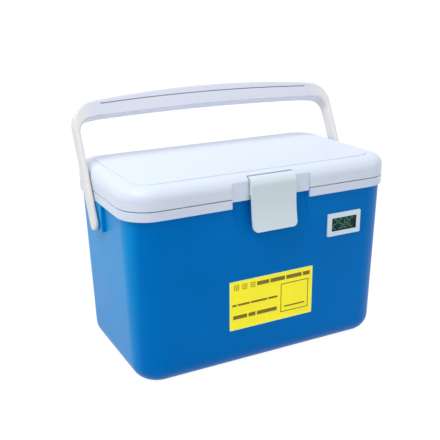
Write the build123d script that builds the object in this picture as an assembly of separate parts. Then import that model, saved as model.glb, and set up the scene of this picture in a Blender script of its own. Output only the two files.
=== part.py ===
from build123d import *
import math
import os

# Insulated specimen transport box, in millimetres. The origin is on the floor under the
# middle of the base, +Z is up, the latch faces -Y and the lid hinges at +Y.

# rim, the widest level of the box
rim_width = 345.0
rim_depth = 192.0
rim_corner = 35.0
rim_height = 208.5

# outer shell
base_width = 326.0
base_depth = 184.0
base_edge_radius = 22.0
shell_wall = 2.5
foot_ring_width = 12.0
foot_recess = 2.0
foot_pad_width = 80.0
foot_pad_depth = 40.0
foot_pad_corner = 8.0

# insulation and tub
side_insulation = 22.0
floor_insulation = 22.0
tub_wall = 2.5
tub_taper = 6.0
tub_corner = 20.0
tub_floor_radius = 9.0
flange_thickness = 3.0
collar_height = 10.5
collar_overhang = 3.0
collar_fit = 0.3
rim_edge_radius = 0.8

# notch at the front of the rim, where the latch hangs
notch_width = 102.0
notch_ramp = 6.0
notch_depth = 3.0
notch_fade = 47.0

# lid
lid_gap = 1.0
lid_height = 23.5
lid_edge_radius = 13.0
lid_wall = 2.5
lid_panel_inset = 19.0
lid_panel_rise = 1.2
lid_panel_corner = 18.0
lid_panel_edge_share = 0.9
lid_notch_depth = 2.0
lid_notch_drop = 4.0
lid_notch_side_gap = 0.4
inner_panel_thickness = 2.5
inner_panel_fit = 0.3
plug_depth = 7.5
plug_clearance = 3.0
plug_edge_radius = 2.5
seal_width = 5.0
seal_groove_depth = 1.5
seal_offset = 5.0
seal_clearance = 0.3

# lid hinge
hinge_spacing = 190.0
hinge_clearance = 0.6
knuckle_radius = 5.0
knuckle_length = 12.0
knuckle_gap = 0.4
hinge_pin_radius = 1.75
pin_clearance = 0.05

# latch
latch_width = 57.5
latch_length = 51.5
latch_thickness = 3.0
latch_stand_off = 4.5
latch_side_gap = 0.8
latch_barrel_radius = 10.0
latch_barrel_gap = 0.4
latch_axis_inset = 5.5
latch_axis_drop = 12.0
latch_corner = 6.0
latch_flare = 5.0
latch_flare_height = 40.0
latch_pin_radius = 1.6
latch_pin_engagement = 6.0
latch_cheek = 10.0
latch_lip_inset = 2.5
catch_width = 44.0
catch_height = 4.0
catch_drop = 39.0
catch_rise = 4.0
catch_clearance = 0.3
catch_edge_radius = 1.3
rib_height = 3.5

# handle: a bail on two pivot pins, standing leaned back
handle_tilt = 26.0
pivot_y = 7.5
pivot_drop = 34.3
pad_width = 35.0
pad_below_pivot = 9.5
pad_corner = 4.0
pad_proud = 0.2
arm_gap = 0.3
arm_thickness = 5.8
arm_width = 19.0
arm_tail = 9.5
arm_tail_corner = 7.0
bar_outer_radius = 149.5
bar_end_radius = 141.5
bar_inner_radius = 124.5
bar_inner_end_radius = 121.3
shoulder_width = 33.8
handle_outer_corner = 28.0
handle_inner_corner = 17.0
handle_edge_radius = 2.5
shoulder_slope = 0.125
grip_end_inset = 2.0
grip_side_gap = 0.1
grip_top = 141.0
grip_top_drop = 4.0
grip_depth = 2.6
grip_proud = 0.8
grip_gap = 1.5
pivot_pin_radius = 4.0
pivot_head_radius = 7.0
pivot_head_thickness = 2.5
pivot_end_gap = 0.3
pivot_skin = 2.0
boss_radius = 8.0
boss_length = 8.0
foam_fit = 0.3

# panel thermometer in the front wall
meter_inset = 70.1
meter_drop = 51.2
meter_width = 48.0
meter_height = 28.6
meter_flange = 2.0
meter_corner = 1.5
meter_edge_radius = 0.6
meter_body_width = 45.8
meter_body_height = 26.3
meter_body_depth = 13.0
meter_body_corner = 0.75
meter_inner_corner = 0.4
meter_wall = 1.5
meter_fit = 0.1
window_width = 36.0
window_height = 16.5
window_thickness = 1.2
window_recess = 0.4
lcd_width = 40.0
lcd_height = 20.0
lcd_thickness = 2.0
board_thickness = 1.2
cell_radius = 5.8
cell_thickness = 5.0
cell_pitch = 13.0
cover_thickness = 1.5
meter_slack = 0.1

# probe of the thermometer, through the wall into the tub
lead_radius = 0.9
lead_bend = 5.6
lead_stand_off = 7.5
lead_drop = 22.0
tip_radius = 2.5
tip_length = 20.0
tip_edge_radius = 1.5
grommet_radius = 3.2
grommet_flange_radius = 4.6
grommet_flange = 1.0
grommet_seat_gap = 0.25
clip_width = 10.0
clip_height = 8.0
clip_wall = 1.5

# label plate on the front wall
label_x = 3.0
label_z = 79.8
label_width = 113.0
label_height = 61.0
label_thickness = 0.4
label_corner = 1.0

# worked-out places
collar_bottom = rim_height - collar_height
shell_top = rim_height - flange_thickness
shell_top_width = rim_width - 2 * collar_overhang
shell_top_depth = rim_depth - 2 * collar_overhang
shell_corner = rim_corner - collar_overhang
rim_front = -rim_depth / 2
meter_x = rim_width / 2 - meter_inset
meter_z = rim_height - meter_drop
pivot_z = rim_height - pivot_drop
rim_back = rim_depth / 2
tub_width = shell_top_width - 2 * (shell_wall + side_insulation + tub_wall)
tub_depth = shell_top_depth - 2 * (shell_wall + side_insulation + tub_wall)
tub_floor_width = tub_width - 2 * tub_taper
tub_floor_depth = tub_depth - 2 * tub_taper
plug_corner = tub_corner - plug_clearance
tub_floor_z = shell_wall + foot_recess + floor_insulation + tub_wall
tub_slope = tub_taper / (rim_height - tub_floor_z)
lid_bottom = rim_height + lid_gap
lid_top = lid_bottom + lid_height
notch_floor = -shell_top_depth / 2 + notch_depth
hinge_y = rim_back + hinge_clearance + knuckle_radius
hinge_z = rim_height
latch_y = rim_front + latch_axis_inset
latch_z = lid_top - latch_axis_drop
latch_front = rim_front - latch_stand_off
latch_back = latch_front + latch_thickness
latch_bottom = latch_z - latch_length
catch_z = latch_z - catch_drop
pad_face = rim_width / 2 + pad_proud
arm_inner = pad_face + arm_gap
arm_outer = arm_inner + arm_thickness
bar_half = arm_outer - shoulder_width
hinge_reach = 1.5 * knuckle_length + knuckle_gap
latch_reach = latch_width / 2 + latch_side_gap + latch_pin_engagement
far = 2 * rim_width
cut_over = 1.0


def wall_x(z):
    """Half of the outer width of the shell at height z."""
    return base_width / 2 + (shell_top_width - base_width) / 2 * z / shell_top


def wall_y(z):
    """Half of the outer depth of the shell at height z."""
    return base_depth / 2 + (shell_top_depth - base_depth) / 2 * z / shell_top


def tub_y(z):
    """Half of the inner depth of the tub at height z."""
    return tub_floor_depth / 2 + tub_slope * (z - tub_floor_z)


def rounded_block(width, depth, corner, z_low, z_high):
    """Upright block with rounded vertical edges, between two heights."""
    sketch = Pos(0, 0, z_low) * RectangleRounded(width, depth, corner)
    return extrude(sketch, z_high - z_low)


def tapered_block(width0, depth0, z0, width1, depth1, z1, corner):
    """Block with rounded corners and flat walls whose size changes from z0 to z1."""
    across = Polyline((-width0 / 2, z0), (width0 / 2, z0), (width1 / 2, z1), (-width1 / 2, z1),
                      close=True)
    along = Polyline((-depth0 / 2, z0), (depth0 / 2, z0), (depth1 / 2, z1), (-depth1 / 2, z1),
                     close=True)
    block = extrude(make_face(Plane.XZ * across), far, both=True)
    block &= extrude(make_face(Plane.YZ * along), far, both=True)
    uprights = block.edges().filter_by(lambda e: e.bounding_box().size.Z > (z1 - z0) / 2)
    return fillet(uprights, corner)


def box_between(x0, x1, y0, y1, z0, z1):
    """Plain box from its two opposite corners."""
    solid = Box(x1 - x0, y1 - y0, z1 - z0)
    return Pos((x0 + x1) / 2, (y0 + y1) / 2, (z0 + z1) / 2) * solid


def rod(x0, x1, y, z, radius):
    """Cylinder along X from x0 to x1."""
    return Pos((x0 + x1) / 2, y, z) * Rot(0, 90, 0) * Cylinder(radius, abs(x1 - x0))


def edges_at(shape, z):
    """Edges of a shape that lie wholly at one height."""
    return shape.edges().filter_by(lambda e: abs(e.bounding_box().min.Z - z) < 1e-4
                                   and abs(e.bounding_box().max.Z - z) < 1e-4)


def on_front(x, z):
    """Frame on the shell's front wall: X along the wall, Y up it, Z outward."""
    lean = (shell_top_depth - base_depth) / 2 / shell_top
    return Plane(origin=(x, -wall_y(z), z), x_dir=(1, 0, 0), z_dir=(0, -1, -lean)).location


def wall_depth(z):
    """Distance from the shell's front face to the tub's, along the wall frame at height z."""
    lean = (shell_top_depth - base_depth) / 2 / shell_top
    gap = wall_y(z) - tub_y(z)
    return gap * math.hypot(1, lean) / (1 + lean * tub_slope)


def on_tub(x, z):
    """Frame on the tub's front wall: X along the wall, Y up it, Z into the tub."""
    depth = wall_depth(z)
    point = (on_front(x, z) * Pos(0, 0, -depth)).position
    frame = Plane(origin=point, x_dir=(1, 0, 0), z_dir=(0, -1, -tub_slope))
    return frame.location


def plate(width, height, corner, low, high):
    """Rounded plate in a wall frame, between two distances from the wall."""
    return extrude(Pos(0, 0, low) * RectangleRounded(width, height, corner), high - low)


def mirrored(shape):
    """The same shape on the other side of the YZ plane."""
    return mirror(shape, about=Plane.YZ)


def shell_form(grow, z_low, z_high):
    """Tapered form of the shell's outside between two heights, larger by grow."""
    return tapered_block(2 * (wall_x(z_low) + grow), 2 * (wall_y(z_low) + grow), z_low,
                         2 * (wall_x(z_high) + grow), 2 * (wall_y(z_high) + grow), z_high,
                         shell_corner + grow)


def shell_envelope():
    """Outer form of the shell, with its rounded bottom edge."""
    form = shell_form(0, 0, shell_top)
    return fillet(edges_at(form, 0), base_edge_radius)


def shell_cavity():
    """Room inside the shell, which the insulation fills."""
    floor = shell_wall + foot_recess
    form = shell_form(-shell_wall, floor, shell_top)
    return fillet(edges_at(form, floor), base_edge_radius - shell_wall)


def tub_form(grow, z_low, z_high):
    """Tapered form of the tub, larger than its inside by grow."""
    return tapered_block(tub_floor_width + 2 * grow, tub_floor_depth + 2 * grow, z_low,
                         tub_width + 2 * grow, tub_depth + 2 * grow, z_high, tub_corner + grow)


def notch_cutter():
    """Shallow scoop down the front wall, deepest at the rim and fading out below."""
    face_y = -shell_top_depth / 2
    outer = face_y - notch_depth
    low = shell_top - notch_fade
    high = shell_top + cut_over
    half = notch_width / 2
    points = [(-half, outer), (-half, face_y), (-half + notch_ramp, notch_floor),
              (half - notch_ramp, notch_floor), (half, face_y), (half, outer)]
    prism = extrude(make_face(Pos(0, 0, low) * Polyline(*points, close=True)), high - low)
    side = Polyline((outer, low), (-wall_y(low), low), (notch_floor, shell_top),
                    (notch_floor, high), (outer, high), close=True)
    return prism & extrude(make_face(Plane.YZ * side), half, both=True)


def make_shell():
    inner = shell_cavity()
    recess = rounded_block(base_width - 2 * base_edge_radius - 2 * foot_ring_width,
                           base_depth - 2 * base_edge_radius - 2 * foot_ring_width,
                           shell_corner - foot_ring_width, -cut_over, foot_recess)
    middle = rounded_block(foot_pad_width, foot_pad_depth, foot_pad_corner, -cut_over,
                           foot_recess)
    shell = shell_envelope() - [inner, recess - middle]
    backing = box_between(-notch_width / 2 - shell_wall, notch_width / 2 + shell_wall,
                          notch_floor - notch_depth, notch_floor + shell_wall,
                          shell_top - notch_fade, shell_top)
    shell += backing & inner
    shell -= notch_cutter()
    catch = box_between(-catch_width / 2, catch_width / 2, catch_face(), notch_floor,
                        catch_z - catch_height / 2, catch_z + catch_height / 2)
    outer_edges = catch.edges().filter_by(Axis.X).sort_by(Axis.Y)[:2]
    shell += [fillet(outer_edges, catch_edge_radius), side_pad(1) - inner, side_pad(-1) - inner]
    shell += [pivot_boss(1), pivot_boss(-1)]
    bores = [rod(side * (pad_face + cut_over), side * (boss_end() - cut_over), pivot_y, pivot_z,
                 pivot_pin_radius + pin_clearance) for side in (1, -1)]
    opening = plate(meter_body_width + 2 * meter_fit, meter_body_height + 2 * meter_fit,
                    meter_fit + meter_body_corner, -meter_body_depth, shell_wall)
    return shell - [*bores, on_front(meter_x, meter_z) * opening]


def boss_end():
    """Inner end of the pivot boss."""
    return wall_x(pivot_z) - shell_wall - boss_length


def side_pad(side):
    """Pad that stands out from a side wall, behind the handle's arm."""
    top = collar_bottom - collar_fit
    low = pivot_z - pad_below_pivot
    pad = box_between(wall_x(low) - shell_wall, pad_face, pivot_y - pad_width / 2,
                      pivot_y + pad_width / 2, low, top)
    corners = pad.edges().filter_by(Axis.X).sort_by(Axis.Z)[:2]
    pad = fillet(corners, pad_corner)
    return pad if side > 0 else mirrored(pad)


def pivot_boss(side):
    """Boss inside a side wall that carries the pivot pin."""
    return rod(side * boss_end(), side * (wall_x(pivot_z) - shell_wall / 2), pivot_y, pivot_z,
               boss_radius)


def catch_face():
    """Outer face of the catch ridge."""
    return notch_floor - catch_rise


def make_liner():
    """White tub, with a flange over the shell's edge and a collar round it."""
    tub = tub_form(tub_wall, tub_floor_z - tub_wall, rim_height)
    tub = fillet(edges_at(tub, tub_floor_z - tub_wall), tub_floor_radius + tub_wall)
    hollow = tub_form(0, tub_floor_z, rim_height)
    hollow = fillet(edges_at(hollow, tub_floor_z), tub_floor_radius)
    flange = rounded_block(rim_width, rim_depth, rim_corner, shell_top, rim_height)
    band = rounded_block(rim_width, rim_depth, rim_corner, collar_bottom, shell_top)
    band -= shell_form(collar_fit, collar_bottom, shell_top)
    rim = flange + band
    rim = fillet(edges_at(rim, collar_bottom) + edges_at(rim, rim_height), rim_edge_radius)
    notch = box_between(-notch_width / 2, notch_width / 2, rim_front - cut_over,
                        notch_floor + collar_fit, collar_bottom - cut_over,
                        rim_height + cut_over)
    liner = rim + tub - [hollow, notch]
    for x in hinge_centres():
        for side in (1, -1):
            start = x + side * (knuckle_length / 2 + knuckle_gap)
            end = start + side * knuckle_length
            web = box_between(min(start, end), max(start, end), rim_back - collar_overhang / 2,
                              hinge_y, hinge_z - knuckle_radius, hinge_z)
            liner += web + rod(start, end, hinge_y, hinge_z, knuckle_radius)
        liner -= hinge_bore(x)
    through = Cylinder(grommet_radius, 4 * tub_wall)
    return liner - on_tub(meter_x, meter_z) * through


def hinge_centres():
    """X of the middle of each hinge."""
    return (-hinge_spacing / 2, hinge_spacing / 2)


def hinge_bore(x):
    """Bore for the pin through all three knuckles of one hinge."""
    reach = hinge_reach + cut_over
    return rod(x - reach, x + reach, hinge_y, hinge_z, hinge_pin_radius + pin_clearance)


def make_body_foam():
    """Insulation cast between the shell and the tub."""
    cutters = [tub_form(tub_wall, tub_floor_z - tub_wall, rim_height)]
    cutters.append(box_between(-notch_width / 2 - shell_wall, notch_width / 2 + shell_wall,
                               notch_floor - notch_depth, notch_floor + shell_wall,
                               shell_top - notch_fade, rim_height + cut_over))
    inner = boss_end() - pivot_head_thickness - 2 * foam_fit
    for side in (1, -1):
        cutters.append(rod(side * inner, side * wall_x(pivot_z), pivot_y, pivot_z,
                           boss_radius + foam_fit))
    place = on_front(meter_x, meter_z)
    pocket = plate(meter_body_width + 2 * foam_fit, meter_body_height + 2 * foam_fit,
                   meter_corner, -meter_body_depth - cover_thickness - foam_fit, cut_over)
    duct_length = wall_depth(meter_z)
    duct = Pos(0, 0, -duct_length / 2) * Cylinder(lead_radius + foam_fit, duct_length)
    cutters.append(place * (pocket + duct))
    return shell_cavity() - cutters


def lid_outer(shrink):
    """Outer form of the lid, or its inside when shrink is the wall."""
    top = lid_top - shrink
    form = rounded_block(rim_width - 2 * shrink, rim_depth - 2 * shrink, rim_corner - shrink,
                         lid_bottom, top)
    form = fillet(edges_at(form, top), lid_edge_radius - shrink)
    inset = lid_panel_inset
    panel = rounded_block(rim_width - 2 * inset, rim_depth - 2 * inset, lid_panel_corner,
                          top - lid_panel_rise, top + lid_panel_rise)
    panel = fillet(edges_at(panel, top + lid_panel_rise), lid_panel_edge_share * lid_panel_rise)
    return form + panel


def latch_housing(fit):
    """What the lid cover keeps solid round the latch and behind the notch."""
    half = latch_width / 2 + latch_cheek + fit
    back = latch_y + latch_barrel_radius + latch_barrel_gap + lid_wall + fit
    block = box_between(-half, half, rim_front - cut_over, back, lid_bottom, lid_top)
    half = notch_width / 2 + lid_wall + fit
    back = rim_front + lid_notch_depth + lid_wall + fit
    return block + box_between(-half, half, rim_front - cut_over, back, lid_bottom, lid_top)


def latch_pocket():
    """Space in the lid's front edge in which the latch turns."""
    half = latch_width / 2 + latch_side_gap
    round_room = rod(-half, half, latch_y, latch_z, latch_barrel_radius + latch_barrel_gap)
    low = latch_z - latch_barrel_radius - latch_barrel_gap
    high = lid_top + cut_over
    front = box_between(-half, half, latch_front - cut_over, latch_y, low, high)
    above = box_between(-half, half, latch_front - cut_over, latch_y + latch_lip_inset,
                        latch_z, high)
    return round_room + front + above


def make_lid_cover():
    outer = lid_outer(0)
    cover = outer - lid_outer(lid_wall)
    cover += latch_housing(0) & outer
    half = notch_width / 2
    side = half - lid_notch_side_gap
    drop = box_between(-side, side, rim_front + lid_notch_depth,
                       rim_front + lid_notch_depth + lid_wall,
                       lid_bottom - lid_notch_drop, lid_bottom + lid_wall)
    cover += drop
    cover -= box_between(-half, half, rim_front - cut_over, rim_front + lid_notch_depth,
                         lid_bottom - lid_notch_drop, lid_top + cut_over)
    cover -= latch_pocket()
    cover -= rod(-latch_reach, latch_reach, latch_y, latch_z, latch_pin_radius + pin_clearance)
    for x in hinge_centres():
        web = box_between(x - knuckle_length / 2, x + knuckle_length / 2, rim_back - lid_wall,
                          hinge_y, lid_bottom, hinge_z + knuckle_radius)
        knuckle = rod(x - knuckle_length / 2, x + knuckle_length / 2, hinge_y, hinge_z,
                      knuckle_radius)
        cover += web + knuckle
        cover -= hinge_bore(x)
    return cover


def plug_form(shrink, z_low, z_high):
    """Tray under the lid that dips into the tub."""
    inset = plug_clearance + shrink
    return rounded_block(tub_width - 2 * inset, tub_depth - 2 * inset, plug_corner - shrink,
                         z_low, z_high)


def seal_ring(depth, low, high):
    """Ring round the plug, depth wide."""
    grow = plug_clearance + seal_offset
    outer = rounded_block(tub_width + 2 * (grow - plug_clearance) + depth,
                          tub_depth + 2 * (grow - plug_clearance) + depth,
                          plug_corner + seal_offset, low, high)
    inner = rounded_block(tub_width + 2 * (grow - plug_clearance) - depth,
                          tub_depth + 2 * (grow - plug_clearance) - depth,
                          plug_corner + seal_offset - depth, low, high)
    return outer - inner


def make_lid_panel():
    """Inner lid panel with its plug, snapped into the cover."""
    room = lid_wall + inner_panel_fit
    top = lid_bottom + inner_panel_thickness
    sheet = rounded_block(rim_width - 2 * room, rim_depth - 2 * room, rim_corner - room,
                          lid_bottom, top)
    sheet -= latch_housing(inner_panel_fit)
    tray = plug_form(0, lid_bottom - plug_depth, top)
    tray = fillet(edges_at(tray, lid_bottom - plug_depth), plug_edge_radius)
    tray_room = plug_form(inner_panel_thickness, lid_bottom - plug_depth + inner_panel_thickness,
                          top)
    panel = sheet + tray - tray_room
    return panel - seal_ring(seal_width, lid_bottom, lid_bottom + seal_groove_depth)


def make_lid_foam():
    """Insulation in the lid, between the cover and the inner panel."""
    top_of_panel = lid_bottom + inner_panel_thickness
    inside = lid_outer(lid_wall) & box_between(-far, far, -far, far, top_of_panel, far)
    inside -= latch_housing(0)
    tray_room = plug_form(inner_panel_thickness, lid_bottom - plug_depth + inner_panel_thickness,
                          top_of_panel)
    return inside + tray_room


def latch_lean(z):
    """How far out the bowed part of the latch's plate stands at a height."""
    bow = (latch_flare_height ** 2 + latch_flare ** 2) / (2 * latch_flare)
    below = latch_bottom + latch_flare_height - z
    return bow - math.sqrt(bow ** 2 - below ** 2)


def make_latch():
    """Latch tongue: a barrel on the pin and a plate that hangs over the rim."""
    front_radius = latch_y - latch_front
    centre_z = latch_z + latch_barrel_radius - front_radius
    flare_z = latch_bottom + latch_flare_height
    arc_mid = (latch_y - front_radius * math.sin(math.radians(45)),
               centre_z + front_radius * math.cos(math.radians(45)))
    bow_z = latch_bottom + latch_flare_height / 2
    outline = [
        ThreePointArc((latch_y, centre_z + front_radius), arc_mid, (latch_front, centre_z)),
        Line((latch_front, centre_z), (latch_front, flare_z)),
        ThreePointArc((latch_front, flare_z), (latch_front - latch_lean(bow_z), bow_z),
                      (latch_front - latch_flare, latch_bottom)),
        Line((latch_front - latch_flare, latch_bottom),
             (latch_back - latch_flare, latch_bottom)),
        ThreePointArc((latch_back - latch_flare, latch_bottom),
                      (latch_back - latch_lean(bow_z), bow_z), (latch_back, flare_z)),
        Polyline((latch_back, flare_z), (latch_back, latch_z - latch_barrel_radius),
                 (latch_y, latch_z - latch_barrel_radius)),
        ThreePointArc((latch_y, latch_z - latch_barrel_radius),
                      (latch_y + latch_barrel_radius, latch_z),
                      (latch_y, latch_z + latch_barrel_radius)),
    ]
    profile = make_face(Plane.YZ * Curve(outline))
    tongue = extrude(profile, latch_width / 2, both=True)
    shape = Plane.XZ * Rectangle(latch_width, 4 * latch_length)
    trim = extrude(shape, far / 2, both=True)
    trim = Pos(0, 0, latch_bottom + 2 * latch_length) * trim
    low_edges = trim.edges().filter_by(Axis.Y).sort_by(Axis.Z)[:2]
    tongue &= fillet(low_edges, latch_corner)
    rib_top = catch_z - catch_height / 2 - catch_clearance
    rib_front = latch_back - latch_lean(rib_top) - latch_thickness / 2
    tongue += box_between(-catch_width / 2, catch_width / 2, rib_front,
                          catch_face() - catch_clearance, rib_top - rib_height, rib_top)
    return tongue - rod(-far, far, latch_y, latch_z, latch_pin_radius + pin_clearance)


def bail_outline(outer_x, end_radius, middle_radius, corner, low):
    """Face in the bail's own plane: straight sides, rounded corners and a bowed top."""
    half = bar_half
    shoulder = end_radius - (outer_x - half) * shoulder_slope
    edges = [
        Polyline((-half, end_radius), (-outer_x, shoulder), (-outer_x, low), (outer_x, low),
                 (outer_x, shoulder), (half, end_radius)),
        ThreePointArc((half, end_radius), (0, middle_radius), (-half, end_radius)),
    ]
    face = make_face(Curve(edges))
    corners = face.vertices().filter_by(lambda v: abs(abs(v.X) - outer_x) < 1e-4
                                        and v.Y > 0)
    return fillet(corners, corner)


def grip_face(top_drop, side_inset):
    """Front face of the grip, in the bail's own plane."""
    half = bar_half - grip_end_inset - side_inset
    middle = grip_top - top_drop
    ends = middle - grip_top_drop
    low_sag = bar_inner_radius - bar_inner_end_radius
    edges = [
        ThreePointArc((-half, ends), (0, middle), (half, ends)),
        Line((half, ends), (half, bar_inner_radius - low_sag)),
        ThreePointArc((half, bar_inner_radius - low_sag), (0, bar_inner_radius),
                      (-half, bar_inner_radius - low_sag)),
        Line((-half, bar_inner_radius - low_sag), (-half, ends)),
    ]
    return make_face(Curve(edges))


def bail_frame():
    """Frame of the bail: X along the bar, Y up the arms, Z toward the front."""
    lean = math.radians(handle_tilt)
    return Plane(origin=(0, pivot_y, pivot_z), x_dir=(1, 0, 0),
                 z_dir=(0, -math.cos(lean), math.sin(lean))).location


def make_handle():
    """Bail and grip, built flat and then set up at the rest tilt."""
    outer = bail_outline(arm_outer, bar_end_radius, bar_outer_radius, handle_outer_corner,
                         -arm_tail)
    inner = bail_outline(arm_inner, bar_inner_end_radius, bar_inner_radius,
                         handle_inner_corner, -arm_tail - cut_over)
    bail = extrude(outer - inner, arm_width / 2, both=True)
    tails = bail.edges().filter_by(Axis.X).sort_by(Axis.Y)[:4]
    bail = fillet(tails, arm_tail_corner)
    rims = bail.faces().sort_by(Axis.Z)
    rounding = [e for f in (rims[0], rims[-1]) for e in f.edges()
                if e.bounding_box().max.Y > arm_tail]
    bail = fillet(rounding, handle_edge_radius)
    front = arm_width / 2
    seat = extrude(Pos(0, 0, front - grip_depth) * grip_face(0, 0), 2 * grip_depth)
    bail -= seat
    for side in (1, -1):
        start = arm_inner - cut_over
        bore = Cylinder(pivot_pin_radius + pin_clearance, arm_outer - pivot_skin - start)
        place = Pos(side * (arm_outer - pivot_skin + start) / 2, 0, 0) * Rot(0, 90, 0)
        bail -= place * bore
    grip = extrude(Pos(0, 0, front - grip_depth) * grip_face(grip_gap, grip_side_gap),
                   grip_depth + grip_proud)
    tops = grip.faces().sort_by(Axis.Z)[-1].edges()
    grip = fillet(tops, grip_proud)
    return bail_frame() * bail, bail_frame() * grip


def make_pivot_pins():
    """Two headed pins, from behind the pivot bosses into the arms."""
    pins = []
    for side in (1, -1):
        end = arm_outer - pivot_skin - pivot_end_gap
        head = boss_end() - foam_fit
        shank = rod(side * head, side * end, pivot_y, pivot_z, pivot_pin_radius)
        disc = rod(side * (head - pivot_head_thickness), side * head, pivot_y, pivot_z,
                   pivot_head_radius)
        pins.append(shank + disc)
    return Compound(children=pins)


def make_hinge_pins():
    """Steel pins of the two lid hinges."""
    return Compound(children=[rod(x - hinge_reach, x + hinge_reach, hinge_y, hinge_z,
                                  hinge_pin_radius) for x in hinge_centres()])


def make_meter():
    """Pieces of the panel thermometer, front to back, in the wall frame."""
    face = meter_flange
    back = -meter_body_depth
    case = plate(meter_width, meter_height, meter_corner, 0, face)
    case = fillet(case.faces().sort_by(Axis.Z)[-1].edges(), meter_edge_radius)
    case += plate(meter_body_width, meter_body_height, meter_body_corner, back, 0)
    inner_width = meter_body_width - 2 * meter_wall
    inner_height = meter_body_height - 2 * meter_wall
    window_back = face - window_recess - window_thickness
    lcd_back = window_back - lcd_thickness
    case -= plate(inner_width, inner_height, meter_inner_corner, back, window_back)
    case -= plate(window_width, window_height, meter_body_corner, window_back, face)
    window = plate(window_width - 2 * meter_slack, window_height - 2 * meter_slack,
                   meter_body_corner - meter_slack, window_back,
                   window_back + window_thickness)
    lcd = plate(lcd_width, lcd_height, meter_inner_corner, lcd_back, window_back)
    board_back = lcd_back - board_thickness
    board = plate(inner_width - 2 * meter_slack, inner_height - 2 * meter_slack,
                  meter_inner_corner, board_back, lcd_back)
    cells = [Pos(side * cell_pitch / 2, 0, board_back - cell_thickness / 2)
             * Cylinder(cell_radius, cell_thickness) for side in (1, -1)]
    cover = plate(meter_body_width, meter_body_height, meter_body_corner,
                  back - cover_thickness, back)
    cover += plate(inner_width - 2 * meter_slack, inner_height - 2 * meter_slack,
                   meter_inner_corner, back, board_back - cell_thickness)
    cover -= Pos(0, 0, back) * Cylinder(lead_radius, far)
    return case, window, lcd, board, Compound(children=cells), cover


def make_probe():
    """Lead, probe tip, grommet and the clip that holds the tip to the tub."""
    outside = on_front(meter_x, meter_z)
    inside = on_tub(meter_x, meter_z)
    start = (outside * Pos(0, 0, -meter_body_depth)).position
    corner = (inside * Pos(0, 0, -lead_stand_off)).position
    end = (inside * Pos(0, -lead_drop, -lead_stand_off)).position
    path = FilletPolyline(start, corner, end, radius=lead_bend)
    lead = sweep(Plane(origin=start, z_dir=corner - start) * Circle(lead_radius), path)
    tip = Pos(0, -lead_drop - tip_length / 2, -lead_stand_off) * Rot(90, 0, 0) * Cylinder(
        tip_radius, tip_length)
    low = tip.edges().sort_by(Axis.Y)[0]
    tip = fillet(low, tip_edge_radius)
    flange = Pos(0, 0, -grommet_seat_gap - grommet_flange / 2) * Cylinder(
        grommet_flange_radius, grommet_flange)
    sleeve = Pos(0, 0, tub_wall / 2 - grommet_seat_gap) * Cylinder(
        grommet_radius - pin_clearance, tub_wall)
    bore = sweep(Plane(origin=start, z_dir=corner - start) * Circle(lead_radius + pin_clearance),
                 Line(start, corner))
    clip_y = -lead_drop - tip_length / 2
    clip_deep = lead_stand_off + tip_radius + clip_wall
    clip = Pos(0, clip_y, -(clip_deep + grommet_seat_gap) / 2) * Box(
        clip_width, clip_height, clip_deep - grommet_seat_gap)
    clip -= Pos(0, clip_y, -lead_stand_off) * Rot(90, 0, 0) * Cylinder(
        tip_radius + pin_clearance, far)
    return lead, inside * tip, inside * (flange + sleeve) - bore, inside * clip


def write(node, shape):
    export_step(shape, os.path.join("parts", node + ".step"))


def main():
    os.makedirs("parts", exist_ok=True)
    write("outer_shell", make_shell())
    write("inner_liner", make_liner())
    write("body_insulation", make_body_foam())
    write("lid_cover", make_lid_cover())
    write("lid_inner_panel", make_lid_panel())
    write("lid_insulation", make_lid_foam())
    write("lid_seal", seal_ring(seal_width, rim_height + seal_clearance,
                                lid_bottom + seal_groove_depth))
    write("hinge_pins", make_hinge_pins())
    write("latch_tongue", make_latch())
    write("latch_pin", rod(-latch_reach, latch_reach, latch_y, latch_z, latch_pin_radius))
    bail, grip = make_handle()
    write("handle_bail", bail)
    write("handle_grip", grip)
    write("pivot_pins", make_pivot_pins())
    place = on_front(meter_x, meter_z)
    meter_nodes = ("thermometer_case", "display_window", "lcd_panel", "circuit_board",
                   "button_cells", "battery_cover")
    for node, shape in zip(meter_nodes, make_meter()):
        write(node, place * shape)
    for node, shape in zip(("probe_lead", "probe_tip", "probe_grommet", "probe_clip"),
                           make_probe()):
        write(node, shape)
    label = plate(label_width, label_height, label_corner, 0, label_thickness)
    write("label_plate", on_front(label_x, label_z) * label)


main()
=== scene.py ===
import bpy
import numpy as np
from mathutils import Matrix, Vector


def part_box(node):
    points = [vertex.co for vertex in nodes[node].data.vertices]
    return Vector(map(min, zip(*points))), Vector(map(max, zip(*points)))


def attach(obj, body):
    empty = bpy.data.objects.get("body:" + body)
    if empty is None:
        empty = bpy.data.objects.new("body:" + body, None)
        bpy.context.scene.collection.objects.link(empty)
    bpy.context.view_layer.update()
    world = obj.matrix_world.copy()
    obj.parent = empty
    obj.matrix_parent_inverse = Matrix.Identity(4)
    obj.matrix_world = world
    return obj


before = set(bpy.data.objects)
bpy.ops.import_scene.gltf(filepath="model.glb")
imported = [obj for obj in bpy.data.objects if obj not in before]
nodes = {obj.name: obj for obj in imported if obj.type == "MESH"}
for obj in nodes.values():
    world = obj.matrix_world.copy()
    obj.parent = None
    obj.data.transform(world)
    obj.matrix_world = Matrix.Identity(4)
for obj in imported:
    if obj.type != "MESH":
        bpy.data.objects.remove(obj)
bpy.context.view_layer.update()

scene = bpy.context.scene
mm = 0.001
print("frame loaded:", len(nodes), "nodes")


camera = {
    # where the eye is, and which ways are right, up and ahead in its view
    "place": (-0.41246, -0.76710, 0.43614),
    "right": (0.88733, -0.46103, -0.00993),
    "up": (0.15201, 0.27210, 0.95019),
    "ahead": (0.43536, 0.84464, -0.31152),
    "lens": 59.71, "sensor": 36.0,  # both in mm
    "clip": (0.05, 20.0),
}


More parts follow.
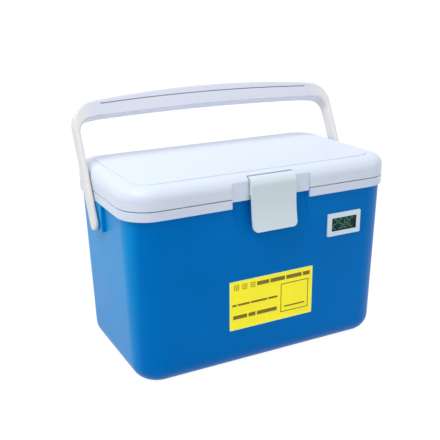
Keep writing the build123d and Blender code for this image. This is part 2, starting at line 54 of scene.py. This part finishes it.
def makeCamera(look):
    # the eye's turn has the view's right, up and back as its columns
    data = bpy.data.cameras.new("boxCamera")
    data.lens = look["lens"]
    data.sensor_width = look["sensor"]
    data.clip_start, data.clip_end = look["clip"]
    eye = bpy.data.objects.new("boxCamera", data)
    scene.collection.objects.link(eye)
    right, up, ahead = (Vector(look[key]) for key in ("right", "up", "ahead"))
    turn = Matrix((right, up, -ahead)).transposed()
    eye.matrix_world = Matrix.Translation(Vector(look["place"])) @ turn.to_4x4()
    scene.camera = eye


makeCamera(camera)
scene.view_settings.view_transform = "Standard"
print("camera placed")


def linear(red, green, blue):
    # screen colour from 0 to 255, turned into the light values that a shader takes
    values = []
    for level in (red, green, blue):
        level = level / 255
        values.append(level / 12.92 if level <= 0.04045 else ((level + 0.055) / 1.055) ** 2.4)
    return (*values, 1.0)


def shade(colour, gain):
    # the same colour, lighter or darker by a factor
    return (*(min(1.0, level * gain) for level in colour[:3]), 1.0)


class Tree:
    # the nodes of one finish, with short calls to add them and join them to its shader
    def __init__(self, name):
        self.material = bpy.data.materials.new(name)
        self.material.use_nodes = True
        self.tree = self.material.node_tree
        self.tree.nodes.clear()
        output = self.tree.nodes.new("ShaderNodeOutputMaterial")
        self.shader = self.tree.nodes.new("ShaderNodeBsdfPrincipled")
        self.tree.links.new(self.shader.outputs[0], output.inputs["Surface"])
        self.coords = self.tree.nodes.new("ShaderNodeTexCoord").outputs["Object"]

    def put(self, kind, settings=None, **sockets):
        # inputs are given by name, or as s and their number, each with a value or an output
        node = self.tree.nodes.new("ShaderNode" + kind)
        for key, value in (settings or {}).items():
            setattr(node, key, value)
        for key, value in sockets.items():
            socket = node.inputs[int(key[1:])] if key[1:].isdigit() else node.inputs[key]
            if isinstance(value, bpy.types.NodeSocket):
                self.tree.links.new(value, socket)
            else:
                socket.default_value = value
        return node

    def noise(self, size, detail=2.0, roughness=0.5, stretch=None):
        # cloudy noise of about this size, drawn out along an axis whose stretch is under 1
        vector = self.coords
        if stretch:
            vector = self.put("Mapping", Vector=vector, Scale=stretch).outputs[0]
        node = self.put("TexNoise", Vector=vector, Scale=1 / size, Detail=detail,
                        Roughness=roughness)
        return node.outputs["Fac"]

    def spread(self, value, low, high, outLow=0.0, outHigh=1.0):
        # value from low to high, carried to outLow to outHigh and held beyond
        node = self.put("MapRange", s0=value, s1=low, s2=high, s3=outLow, s4=outHigh)
        return node.outputs[0]

    def patches(self, size, detail, roughness=0.5, low=0.0, high=1.0):
        # soft patches of about this size, running from low to high
        return self.spread(self.noise(size, detail, roughness), 0.3, 0.7, low, high)

    def math(self, operation, *values):
        sockets = {f"s{place}": value for place, value in enumerate(values)}
        return self.put("Math", {"operation": operation}, **sockets).outputs[0]

    def times(self, first, second):
        return self.math("MULTIPLY", first, second)

    def plus(self, first, second):
        return self.math("ADD", first, second)

    def blendColour(self, amount, first, second):
        node = self.put("Mix", {"data_type": "RGBA"}, s0=amount, s6=first, s7=second)
        return node.outputs[2]

    def hold(self, socketName, value):
        # a value that is the same all over, on the shader's own input
        self.shader.inputs[socketName].default_value = value

    def join(self, value, socketName):
        self.tree.links.new(value, self.shader.inputs[socketName])

    def relief(self, height, strength, depth):
        bump = self.put("Bump", Strength=strength, Distance=depth, Height=height)
        self.join(bump.outputs[0], "Normal")

    def finish(self, colour, rough):
        self.join(colour, "Base Color")
        self.join(rough, "Roughness")
        return self.material


def plasticTone(tree, look):
    # one tone, or a second one near the middle, blended by the distance across from it
    tone = linear(*look["colour"])
    if "middle" not in look:
        return tone[:3]  # the node that scales it takes no alpha
    across = tree.put("SeparateXYZ", Vector=tree.coords).outputs[0]
    outside = tree.spread(tree.math("ABSOLUTE", across), *look["blend"])
    return tree.blendColour(outside, linear(*look["middle"]), tone)


def edgeWearAndHighlight(tree, look):
    # 1 where the surface turns within the edge's width, broken up by patches of wear; it marks
    # both edge wear and a painted highlight along rounded edges
    bevel = tree.put("Bevel", {"samples": 4}, Radius=look["edgeWidth"]).outputs[0]
    normal = tree.put("NewGeometry").outputs["Normal"]
    facing = tree.put("VectorMath", {"operation": "DOT_PRODUCT"}, s0=bevel, s1=normal).outputs[1]
    wear = tree.spread(tree.noise(12 * mm, 3.0), 0.25, 0.6, 0.45, 1.0)
    return tree.times(tree.spread(facing, 0.995, 0.86), wear)


def mouldedPlastic(name, look):
    # drift of tone over the moulding, painted shade in seams, gaps and hollows, edges paler with
    # wear and painted highlight, faint rubs and fine grain
    tree = Tree(name)
    drift = tree.patches(look["driftSize"], 3.0)
    mottle = tree.spread(tree.noise(look["mottleSize"], 4.0, 0.6), 0.35, 0.65)
    gain = tree.plus(tree.times(drift, 2 * look["drift"]), 1 - look["drift"])
    gain = tree.plus(gain, tree.times(mottle, look["mottle"] * look["drift"]))
    colour = tree.put("VectorMath", {"operation": "SCALE"}, s0=plasticTone(tree, look),
                      Scale=gain).outputs[0]
    # painted shade: ambient occlusion darkens the colour in seams, gaps and hollows, such as
    # behind the handle's arms
    shut = tree.put("AmbientOcclusion", {"samples": 6}, Distance=look["paintedShadeReach"]).outputs["AO"]
    paintedShade = tree.times(tree.spread(shut, 0.75, 0.25), look["paintedShadeAmount"])
    colour = tree.blendColour(paintedShade, colour, shade(linear(*look["colour"]), 0.35))
    # painted highlight: rounded edges blended towards a paler colour, broken up by wear
    edge = edgeWearAndHighlight(tree, look)
    colour = tree.blendColour(tree.times(edge, look["edgeHighlightAmount"]), colour,
                              linear(*look["edgeHighlightColour"]))
    rubs = tree.spread(tree.noise(10 * mm, 5.0, 0.7, (1.0, 1.0, 6.0)), 0.60, 0.72)
    rough = tree.plus(tree.times(drift, look["roughSpread"]), look["roughness"])
    rough = tree.plus(rough, tree.times(rubs, look["rub"]))
    rough = tree.plus(rough, tree.times(edge, look["edgeRough"]))
    grain = tree.times(tree.noise(look["grainSize"], 3.0, 0.6), look["grain"])
    ripple = tree.times(tree.noise(look["rippleSize"], 1.0), look["ripple"])
    tree.relief(tree.plus(grain, ripple), 0.35, look["relief"])
    tree.hold("Specular IOR Level", look["specular"])
    if "tint" in look:
        tree.hold("Specular Tint", linear(*look["tint"]))
    return tree.finish(colour, rough)


def dress(material, *names):
    # gives CAD nodes their finish
    for name in names:
        mesh = nodes[name].data
        mesh.materials.clear()
        mesh.materials.append(material)


plastic = {
    "driftSize": 90 * mm, "mottleSize": 6 * mm, "mottle": 0.25,
    "paintedShadeReach": 6 * mm, "paintedShadeAmount": 0.5,  # how far painted shade reaches from seams, gaps and hollows, and how dark it is
    "edgeRough": 0.08,  # how much rougher a worn edge is
    # depth of a full relief, and the shares of the grain and of the slow ripple in it
    "relief": 0.1 * mm, "grain": 0.2, "ripple": 0.6, "rippleSize": 35 * mm,
}
bluePlastic = dict(
    plastic, colour=(0, 144, 216), drift=0.04,
    # painted shade: a deeper blue on the front and back than on the better lit sides, blended into
    # the sides between these distances
    middle=(0, 113, 195), blend=(157 * mm, 167 * mm),
    edgeWidth=1.2 * mm, edgeHighlightAmount=0.30, edgeHighlightColour=(50, 150, 215),
    roughness=0.30, roughSpread=0.08, rub=0.12, grainSize=0.7 * mm,
    specular=0.16, tint=(60, 170, 255),
)
whitePlastic = dict(
    plastic, colour=(216, 226, 242), drift=0.015,
    edgeWidth=1.0 * mm, edgeHighlightAmount=0.35, edgeHighlightColour=(244, 248, 255),
    roughness=0.36, roughSpread=0.06, rub=0.10, grainSize=0.6 * mm, specular=0.4,
)
linerPlastic = dict(whitePlastic, colour=(214, 224, 243), roughness=0.33)
latchPlastic = dict(whitePlastic, colour=(211, 226, 234), edgeHighlightColour=(252, 254, 255),
                    edgeWidth=1.4 * mm, roughness=0.30)
gripPlastic = dict(whitePlastic, colour=(215, 219, 233), roughness=0.45, grain=0.5,
                   paintedShadeAmount=0.15)
# the arms in one tone and the bar between them in the grip's
handlePlastic = dict(whitePlastic, colour=(228, 227, 226), roughness=0.42, paintedShadeAmount=0.15,
                     middle=gripPlastic["colour"], blend=(150 * mm, 172 * mm))
pinPlastic = dict(whitePlastic, colour=(205, 210, 214), roughness=0.4)
bezelPlastic = dict(whitePlastic, colour=(214, 234, 246), edgeHighlightColour=(225, 245, 255),
                    edgeWidth=0.7 * mm, roughness=0.28, specular=0.5)
backPlastic = dict(whitePlastic, colour=(190, 196, 200), roughness=0.5)

dress(mouldedPlastic("blueShell", bluePlastic), "outer_shell")
dress(mouldedPlastic("whiteLid", whitePlastic), "lid_cover")
dress(mouldedPlastic("whiteLiner", linerPlastic), "inner_liner", "lid_inner_panel", "probe_clip")
dress(mouldedPlastic("latchWhite", latchPlastic), "latch_tongue")
dress(mouldedPlastic("handleWhite", handlePlastic), "handle_bail")
dress(mouldedPlastic("gripWhite", gripPlastic), "handle_grip")
dress(mouldedPlastic("pinWhite", pinPlastic), "pivot_pins")
dress(mouldedPlastic("meterBezel", bezelPlastic), "thermometer_case")
dress(mouldedPlastic("meterBack", backPlastic), "battery_cover")
print("plastics dressed")


def turnedSteel(name, look):
    # fine rings round the pin, and a little blotching
    base = linear(*look["colour"])
    tree = Tree(name)
    rings = tree.noise(look["ring"], stretch=look["stretch"])
    blotch = tree.patches(4 * mm, 3.0)
    colour = tree.blendColour(blotch, shade(base, 0.86), shade(base, 1.08))
    rough = tree.spread(rings, 0.3, 0.7, look["roughness"], look["roughness"] + 0.14)
    tree.relief(rings, 0.25, 0.02 * mm)
    tree.hold("Metallic", 1.0)
    return tree.finish(colour, rough)


def softRubber(name, look):
    # patches of pale dust over a fine grain
    tree = Tree(name)
    dust = tree.spread(tree.noise(3 * mm, 5.0, 0.7), 0.45, 0.7)
    colour = tree.blendColour(tree.times(dust, look["dust"]), linear(*look["colour"]),
                              linear(150, 150, 146))
    rough = tree.patches(1.5 * mm, 3.0, 0.5, look["roughness"] - 0.08, look["roughness"] + 0.08)
    tree.relief(tree.noise(0.6 * mm, 4.0), 0.3, 0.08 * mm)
    return tree.finish(colour, rough)


def castFoam(name, look):
    # small round cells, paler towards their walls
    base = linear(*look["colour"])
    tree = Tree(name)
    cells = tree.put("TexVoronoi", Vector=tree.coords, Scale=1 / look["cell"]).outputs["Distance"]
    colour = tree.blendColour(tree.spread(cells, 0.0, 0.7), shade(base, 0.8), shade(base, 1.08))
    tree.relief(cells, 0.6, 0.4 * mm)
    return tree.finish(colour, tree.patches(4 * mm, 2.0, 0.5, 0.8, 0.95))


# rings lie close along a pin and are drawn out round it: the pins lie across the box, the
# probe stands
steelPins = {"colour": (188, 190, 194), "ring": 0.4 * mm, "stretch": (1.0, 0.02, 0.02),
             "roughness": 0.22}
steelProbe = dict(steelPins, colour=(202, 204, 208), stretch=(0.02, 0.02, 1.0), roughness=0.16)
sealRubber = {"colour": (118, 122, 127), "dust": 0.25, "roughness": 0.62}
leadRubber = {"colour": (30, 30, 32), "dust": 0.12, "roughness": 0.5}
boardFace = {"colour": (20, 84, 46), "dust": 0.1, "roughness": 0.35}
foamFill = {"colour": (228, 208, 158), "cell": 1.1 * mm}

dress(turnedSteel("steelPin", steelPins), "hinge_pins", "latch_pin", "button_cells")
dress(turnedSteel("steelProbe", steelProbe), "probe_tip")
dress(softRubber("sealRubber", sealRubber), "lid_seal", "probe_grommet")
dress(softRubber("leadRubber", leadRubber), "probe_lead")
dress(softRubber("boardFace", boardFace), "circuit_board")
dress(castFoam("castFoam", foamFill), "body_insulation", "lid_insulation")
print("metal, rubber and foam dressed")


def faceValues(mesh, name, width):
    # one property of a mesh's faces, a row for each face
    values = np.empty(len(mesh.polygons) * width, np.float32)
    mesh.polygons.foreach_get(name, values)
    return values.reshape(-1, width).astype(float)


def frontFace(node):
    # middle of a plate's front, and its axes to the right, up the front and outwards: means
    # over the faces that look forwards, each counted by its area
    mesh = nodes[node].data
    normals, centres = faceValues(mesh, "normal", 3), faceValues(mesh, "center", 3)
    areas = faceValues(mesh, "area", 1)
    front = normals[:, 1] < -0.9
    share = areas[front] / areas[front].sum()
    out = (normals[front] * share).sum(axis=0)
    out /= np.linalg.norm(out)
    right = np.array((1.0, 0.0, 0.0))
    return (centres[front] * share).sum(axis=0), np.stack((right, np.cross(out, right), out))


def bar(x0, x1, y0, y1):
    # corners of a rectangle, anticlockwise from its lower left
    return [(x0, y0), (x1, y0), (x1, y1), (x0, y1)]


def frameBars(x0, x1, y0, y1, width):
    # four bars round a rectangle, meeting but not overlapping at its corners
    return [bar(x0, x1, y0, y0 + width), bar(x0, x1, y1 - width, y1),
            bar(x0, x0 + width, y0 + width, y1 - width),
            bar(x1 - width, x1, y0 + width, y1 - width)]


def inkPrisms(outlines, foot, top):
    # closed prisms over four-cornered outlines in mm, each anticlockwise as seen from outside:
    # its corners at the foot, then the same four at the top
    outlines = np.asarray(outlines) * mm
    layers = [np.dstack((outlines, np.full(outlines.shape[:2], height))) for height in (foot, top)]
    corner = np.arange(4)
    after = (corner + 1) % 4
    sides = np.column_stack((corner, after, after + 4, corner + 4))
    faces = np.vstack((corner[::-1], corner + 4, sides))
    starts = 8 * np.arange(len(outlines))[:, None, None]
    return np.hstack(layers).reshape(-1, 3), (starts + faces).reshape(-1, 4)


def inkMaterial(name, look):
    # ink with uneven cover
    base = linear(*look["inkColour"])
    tree = Tree(name)
    cover = tree.patches(look["coverSize"], 4.0, 0.7)
    rough = tree.patches(2 * look["coverSize"], 2.0, 0.5, 0.42, 0.58)
    return tree.finish(tree.blendColour(cover, shade(base, 0.8), shade(base, 1.25)), rough)


def printOn(node, name, outlines, look, material):
    # thin ink on a plate's front: points to the right, up and out carried from its middle
    origin, axes = frontFace(node)
    points, faces = inkPrisms(outlines, *look["ink"])
    mesh = bpy.data.meshes.new(name)
    mesh.from_pydata((origin + points @ axes).tolist(), [], faces.tolist())
    mesh.update()
    mesh.materials.append(inkMaterial(material, look))
    piece = bpy.data.objects.new(name, mesh)
    scene.collection.objects.link(piece)
    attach(piece, "box")


label = {
    # glow: painted light, a faint glow of the film's own yellow
    "yellow": (250, 238, 30), "fleck": (214, 204, 60), "glow": 0.18,
    "border": 1.3 * mm, "pale": (232, 242, 150),  # paler cut edge
    "inkColour": (122, 111, 16), "coverSize": 2 * mm,
    "ink": (0.01 * mm, 0.06 * mm),  # foot and top of the ink above the film
    # the form in mm from the label's middle: tick boxes with a dot in each
    "ticks": (-50.5, -39.8, -29.1), "tickFoot": 19.4, "tickSide": 6.2, "tickLine": 0.8,
    "dot": 2.0,
    # bottom and top of each row, and where each blank word bar starts and ends
    "rows": (
        (20.2, 25.2, ((-20.5, -4.0), (-2.4, 17.6), (19.4, 41.0), (42.8, 52.6))),
        (-0.6, 2.0, ((-53.2, -47.6), (-46.2, -30.0), (-28.6, -6.4), (-5.0, 7.6))),
        (-17.0, -12.2, ((-52.0, -33.6), (-31.6, -22.4), (-20.4, 6.8))),
    ),
    # left, right, bottom and top of the plain frame and of the rule across it
    "square": (12.0, 51.0, -21.5, 15.5), "squareLine": 1.1, "rule": (17.0, 46.0, -15.5, -13.7),
}


def labelFilm(name, look):
    # printed film: an even yellow, slightly mottled, with a pale border near its cut edge, and a
    # faint glow of its own yellow that is painted light
    base = linear(*look["yellow"])
    tree = Tree(name)
    colour = tree.blendColour(tree.patches(30 * mm, 3.0), shade(base, 0.95), shade(base, 1.03))
    fleck = tree.spread(tree.noise(1.2 * mm, 4.0, 0.7), 0.62, 0.75)
    colour = tree.blendColour(tree.times(fleck, 0.25), colour, linear(*look["fleck"]))
    place = tree.put("SeparateXYZ", Vector=tree.coords).outputs
    low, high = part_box("label_plate")
    near = []
    for axis in (0, 2):
        middle, half = (low[axis] + high[axis]) / 2, (high[axis] - low[axis]) / 2
        offset = tree.math("ABSOLUTE", tree.math("SUBTRACT", place[axis], middle))
        near.append(tree.spread(offset, half - look["border"], half - look["border"] / 3))
    colour = tree.blendColour(tree.math("MAXIMUM", *near), colour, linear(*look["pale"]))
    # painted light: the film glows faintly in its own colour
    tree.join(colour, "Emission Color")
    tree.hold("Emission Strength", look["glow"])
    tree.hold("Specular IOR Level", 0.4)
    tree.relief(tree.noise(4 * mm, 3.0), 0.2, 0.05 * mm)
    return tree.finish(colour, tree.patches(6 * mm, 4.0, 0.5, 0.32, 0.46))


def labelForm(look):
    # generic write-on form: tick boxes, rows of blank word bars and a plain frame
    foot, side, dot = look["tickFoot"], look["tickSide"], look["dot"]
    inset = (side - dot) / 2
    shapes = []
    for left in look["ticks"]:
        shapes += frameBars(left, left + side, foot, foot + side, look["tickLine"])
        shapes.append(bar(left + inset, left + inset + dot, foot + inset, foot + inset + dot))
    for low, high, words in look["rows"]:
        shapes += [bar(start, end, low, high) for start, end in words]
    return shapes + frameBars(*look["square"], look["squareLine"]) + [bar(*look["rule"])]


dress(labelFilm("labelYellow", label), "label_plate")
printOn("label_plate", "label_print", labelForm(label), label, "labelInk")
print("label made")


display = {
    "face": (16, 52, 48), "inkColour": (84, 130, 120), "coverSize": 1 * mm,
    "ink": (0.01 * mm, 0.05 * mm),
    # figures in mm from the display's middle: where the first starts, and how far apart
    "shown": "258C", "first": -15.6, "pitch": 8.1, "digitWidth": 5.2, "digitHeight": 11.4,
    "stroke": 1.25, "gap": 0.18, "slant": 0.08,
    "point": (-1.7, -0.4, -6.2, -4.9),  # left, right, bottom and top of the decimal point
}
# lit segments: a at the top, b and c down the right, d at the bottom, e and f up the left, and
# g across the middle
segmentsOf = {"0": "abcdef", "1": "bc", "2": "abged", "3": "abgcd", "4": "fgbc", "5": "afgcd",
              "6": "afgedc", "7": "abc", "8": "abcdefg", "9": "abcdfg", "C": "afed"}


def stroke(start, end, width, gap):
    # rectangle along a line, its ends held back by the gap and half the stroke's width
    along = (end - start) / np.linalg.norm(end - start)
    side = np.array((-along[1], along[0])) * width / 2
    start, end = start + along * (gap + width / 2), end - along * (gap + width / 2)
    return np.array((start - side, end - side, end + side, start + side))


def digitOutlines(digit, x, look):
    # seven-segment figure: each lit segment is a stroke between two corners of a slanted box
    w, h = look["digitWidth"], look["digitHeight"]
    corners = {"a": ((0, h), (w, h)), "b": ((w, h), (w, h / 2)), "c": ((w, h / 2), (w, 0)),
               "d": ((0, 0), (w, 0)), "e": ((0, h / 2), (0, 0)), "f": ((0, h), (0, h / 2)),
               "g": ((0, h / 2), (w, h / 2))}
    lines = np.array([corners[name] for name in segmentsOf[digit]], float)
    shapes = np.array([stroke(*line, look["stroke"], look["gap"]) for line in lines])
    shapes[:, :, 0] += look["slant"] * shapes[:, :, 1] + x
    shapes[:, :, 1] -= h / 2
    return list(shapes)


def displayFigures(look):
    # the figures side by side, then the decimal point
    shapes = []
    for place, digit in enumerate(look["shown"]):
        shapes += digitOutlines(digit, look["first"] + look["pitch"] * place, look)
    return shapes + [bar(*look["point"])]


def lcdMaterial(name, look):
    # dark grey-green liquid crystal with a faint upright grain
    base = linear(*look["face"])
    tree = Tree(name)
    colour = tree.blendColour(tree.patches(12 * mm, 2.0), shade(base, 0.82), shade(base, 1.12))
    lines = tree.noise(0.8 * mm, 3.0, 0.6, (1.0, 1.0, 0.25))
    colour = tree.blendColour(tree.spread(lines, 0.4, 0.7, 0.0, 0.35), colour, shade(base, 0.6))
    tree.hold("Specular IOR Level", 0.15)
    return tree.finish(colour, tree.patches(5 * mm, 2.0, 0.5, 0.25, 0.4))


window = {"colours": ((205, 226, 222), (232, 244, 242)), "ior": 1.1}


def clearWindow(name, look):
    # thin clear acrylic, faintly hazed
    tree = Tree(name)
    colour = tree.blendColour(tree.patches(4 * mm, 4.0), *(linear(*c) for c in look["colours"]))
    tree.hold("Transmission Weight", 1.0)
    tree.hold("IOR", look["ior"])
    return tree.finish(colour, tree.patches(2 * mm, 3.0, 0.5, 0.04, 0.12))


dress(lcdMaterial("lcdFace", display), "lcd_panel")
dress(clearWindow("clearWindow", window), "display_window")
printOn("lcd_panel", "lcd_segments", displayFigures(display), display, "lcdSegment")
print("display made")


stage = {
    "halfSize": 8.0, "drop": 0.2 * mm, "white": 0.74,
    # how strongly the floor glows where it is seen, and the share of that in its look
    "glow": 1.15, "glowShare": 0.84,
    # level of the surroundings, as light on the box and where they are seen
    "light": 0.58, "seen": 1.04,
}


def seenShare(tree):
    # 1 where the eye sees it, directly, in a reflection or through the window, otherwise 0
    path = tree.nodes.new("ShaderNodeLightPath")
    share = path.outputs["Is Camera Ray"]
    for name in ("Is Glossy Ray", "Is Transmission Ray"):
        larger = tree.nodes.new("ShaderNodeMath")
        larger.operation = "MAXIMUM"
        tree.links.new(share, larger.inputs[0])
        tree.links.new(path.outputs[name], larger.inputs[1])
        share = larger.outputs[0]
    return share


def stageMaterial(name, look):
    # glows white where it is seen, over a plain white that the box shades
    material = bpy.data.materials.new(name)
    material.use_nodes = True
    tree = material.node_tree
    tree.nodes.clear()
    output = tree.nodes.new("ShaderNodeOutputMaterial")
    diffuse = tree.nodes.new("ShaderNodeBsdfDiffuse")
    diffuse.inputs["Color"].default_value = (look["white"],) * 3 + (1.0,)
    glow = tree.nodes.new("ShaderNodeEmission")
    glow.inputs["Strength"].default_value = look["glow"]
    share = tree.nodes.new("ShaderNodeMath")
    share.operation = "MULTIPLY"
    share.inputs[1].default_value = look["glowShare"]
    tree.links.new(seenShare(tree), share.inputs[0])
    mix = tree.nodes.new("ShaderNodeMixShader")
    tree.links.new(share.outputs[0], mix.inputs[0])
    tree.links.new(diffuse.outputs[0], mix.inputs[1])
    tree.links.new(glow.outputs[0], mix.inputs[2])
    tree.links.new(mix.outputs[0], output.inputs["Surface"])
    return material


def makeFloor(look):
    mesh = bpy.data.meshes.new("floor")
    corners = bar(-look["halfSize"], look["halfSize"], -look["halfSize"], look["halfSize"])
    mesh.from_pydata([(*corner, 0) for corner in corners], [], [(0, 1, 2, 3)])
    mesh.materials.append(stageMaterial("floorWhite", look))
    floor = bpy.data.objects.new("floor", mesh)
    floor.location.z = -look["drop"]
    scene.collection.objects.link(floor)


def makeWorld(look):
    # one even white, brighter where it is seen than as light on the box
    world = bpy.data.worlds.new("studio")
    scene.world = world
    world.use_nodes = True
    tree = world.node_tree
    tree.nodes.clear()
    output = tree.nodes.new("ShaderNodeOutputWorld")
    background = tree.nodes.new("ShaderNodeBackground")
    background.inputs["Color"].default_value = (1.0, 1.0, 1.0, 1.0)
    level = tree.nodes.new("ShaderNodeMapRange")
    level.inputs["To Min"].default_value = look["light"]
    level.inputs["To Max"].default_value = look["seen"]
    tree.links.new(seenShare(tree), level.inputs["Value"])
    tree.links.new(level.outputs[0], background.inputs["Strength"])
    tree.links.new(background.outputs[0], output.inputs["Surface"])


# soft round lamps: shine says whether a lamp shows in reflections
lamps = {
    "keyLeft": {"place": (-0.95, -0.30, 2.05), "aim": (0, 0, 0.12), "size": 1.3, "power": 28.0,
                "shine": True},
    "fillRight": {"place": (1.15, -1.30, 0.75), "aim": (0.05, 0, 0.12), "size": 1.1, "power": 2.3,
                  "shine": True},
    "backLow": {"place": (0.15, 1.70, 0.45), "aim": (0, 0, 0.20), "size": 1.6, "power": 9.0,
                "shine": False},
}


def makeLamp(name, look):
    data = bpy.data.lights.new(name, "AREA")
    data.shape = "DISK"
    data.size = look["size"]
    data.energy = look["power"]
    lamp = bpy.data.objects.new(name, data)
    place = Vector(look["place"])
    lamp.location = place
    lamp.rotation_mode = "QUATERNION"
    lamp.rotation_quaternion = (Vector(look["aim"]) - place).to_track_quat("-Z", "Y")
    lamp.visible_camera = False
    lamp.visible_glossy = look["shine"]
    scene.collection.objects.link(lamp)


makeFloor(stage)
makeWorld(stage)
for lampName, lampLook in lamps.items():
    makeLamp(lampName, lampLook)
print("stage lit")
